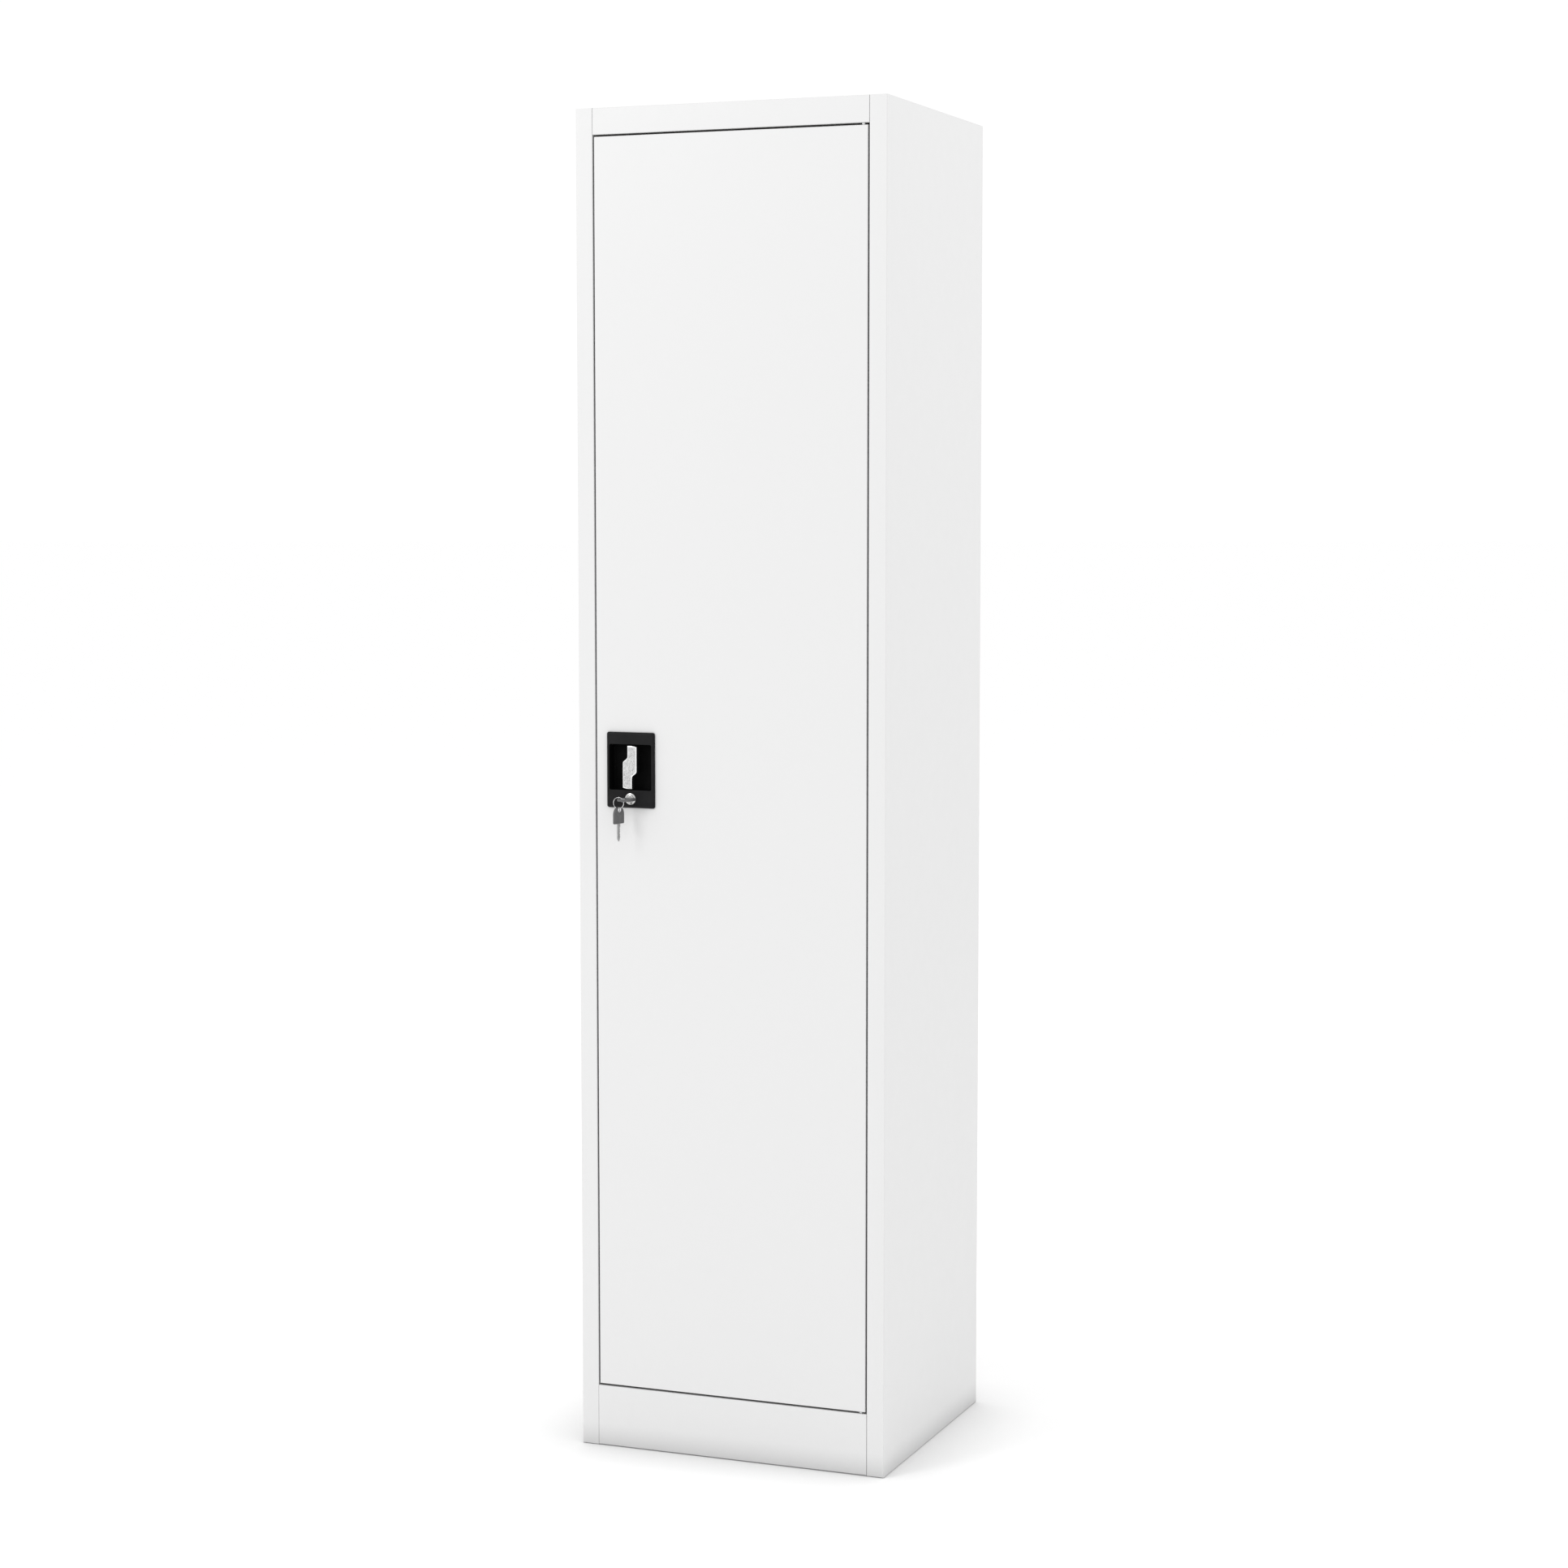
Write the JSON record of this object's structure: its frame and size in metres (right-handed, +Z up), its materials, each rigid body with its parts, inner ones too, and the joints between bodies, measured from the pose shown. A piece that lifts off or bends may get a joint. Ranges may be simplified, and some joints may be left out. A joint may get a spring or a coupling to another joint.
{
  "type": "locker cabinet",
  "caption": "Tall narrow steel locker with a single right-hinged door, recessed turn handle, key lock and two-rod latch.",
  "frame": {"origin": "on the floor, at the middle of the whole object's outline seen from above, keys included; the cabinet's front is at y = -0.18 m and its back at y = 0.22 m", "axes": "+Z up, -Y out of the front of the door, +X to the right of a person facing the door"},
  "size_m": [0.45, 0.439, 1.85],
  "materials": {
    "white_paint": "fine satin powder coat",
    "zinc_steel": "zinc plated",
    "chrome": "polished",
    "satin_silver": "sand-cast face with polished edges",
    "black_plastic": "satin moulded",
    "grey_plastic": "matt moulded",
    "nylon": "natural nylon",
    "rubber": "matt"
  },
  "bodies": {
    "cabinet": {"left_side_panel": "white_paint", "right_side_panel": "white_paint", "top_panel": "white_paint", "bottom_panel": "white_paint", "back_panel": "white_paint", "hat_shelf": "white_paint", "hanging_rail": "chrome", "upper_hinge_pin": "zinc_steel", "lower_hinge_pin": "zinc_steel", "upper_door_bumper": "rubber", "lower_door_bumper": "rubber", "left_rail_socket": "black_plastic", "right_rail_socket": "black_plastic", "left_coat_hook": "zinc_steel", "right_coat_hook": "zinc_steel", "left_front_shelf_clip": "zinc_steel", "left_rear_shelf_clip": "zinc_steel", "right_front_shelf_clip": "zinc_steel", "right_rear_shelf_clip": "zinc_steel", "left_back_rivet_1": "zinc_steel", "left_back_rivet_2": "zinc_steel", "left_back_rivet_3": "zinc_steel", "right_back_rivet_1": "zinc_steel", "right_back_rivet_2": "zinc_steel", "right_back_rivet_3": "zinc_steel"},
    "door": {"door_pan": "white_paint", "door_stiffener": "white_paint", "upper_hinge_bush": "nylon", "lower_hinge_bush": "nylon", "upper_rod_guide": "nylon", "lower_rod_guide": "nylon", "handle_housing": "black_plastic", "housing_clamp": "zinc_steel", "left_clamp_screw": "zinc_steel", "right_clamp_screw": "zinc_steel", "lock_cylinder": "chrome", "cylinder_nut": "zinc_steel"},
    "turning_handle": {"turn_handle": "satin_silver", "cam_plate": "zinc_steel", "cam_screw": "zinc_steel"},
    "upper_rod": {"upper_latch_rod": "zinc_steel"},
    "lower_rod": {"lower_latch_rod": "zinc_steel"},
    "turning_plug": {"lock_plug": "chrome", "lock_tab": "zinc_steel", "tab_screw": "zinc_steel"},
    "inserted_key": {"key_blade": "chrome", "key_head": "grey_plastic"},
    "ring": {"key_ring": "chrome"},
    "spare_key": {"spare_key_blade": "chrome", "spare_key_head": "grey_plastic"}
  },
  "joints": [
    {"name": "door_hinge", "type": "hinge", "parent": "cabinet", "child": "door", "pos_m": [0.1905, -0.175, 0.95], "axis": [0, 0, 1], "range_deg": [0, 120]},
    {"name": "handle_turn", "type": "hinge", "parent": "door", "child": "turning_handle", "pos_m": [-0.146, -0.18, 0.956], "axis": [0, -1, 0], "range_deg": [0, 90]},
    {"name": "upper_rod_slide", "type": "slide", "parent": "door", "child": "upper_rod", "axis": [0, 0, 1], "range_m": [0, 0.0198]},
    {"name": "lower_rod_slide", "type": "slide", "parent": "door", "child": "lower_rod", "axis": [0, 0, -1], "range_m": [0, 0.0198]},
    {"name": "plug_turn", "type": "hinge", "parent": "door", "child": "turning_plug", "pos_m": [-0.146, -0.18, 0.9125], "axis": [0, -1, 0], "range_deg": [0, 90]},
    {"name": "key_pull", "type": "slide", "parent": "turning_plug", "child": "inserted_key", "axis": [0, -1, 0], "range_m": [0, 0.03]},
    {"name": "ring_turn", "type": "hinge", "parent": "inserted_key", "child": "ring", "pos_m": [-0.1527, -0.208, 0.9088], "axis": [0, -1, 0], "range_deg": [-90, 0]},
    {"name": "spare_key_swing", "type": "hinge", "parent": "ring", "child": "spare_key", "pos_m": [-0.1527, -0.208, 0.90115], "axis": [1, 0, 0], "range_deg": [-25, 25]}
  ],
  "couplings": [
    {"joint": "upper_rod_slide", "follows": "handle_turn", "m_per_rad": 0.0126},
    {"joint": "lower_rod_slide", "follows": "handle_turn", "m_per_rad": 0.0126},
    {"joint": "ring_turn", "follows": "plug_turn", "ratio": -1}
  ]
}
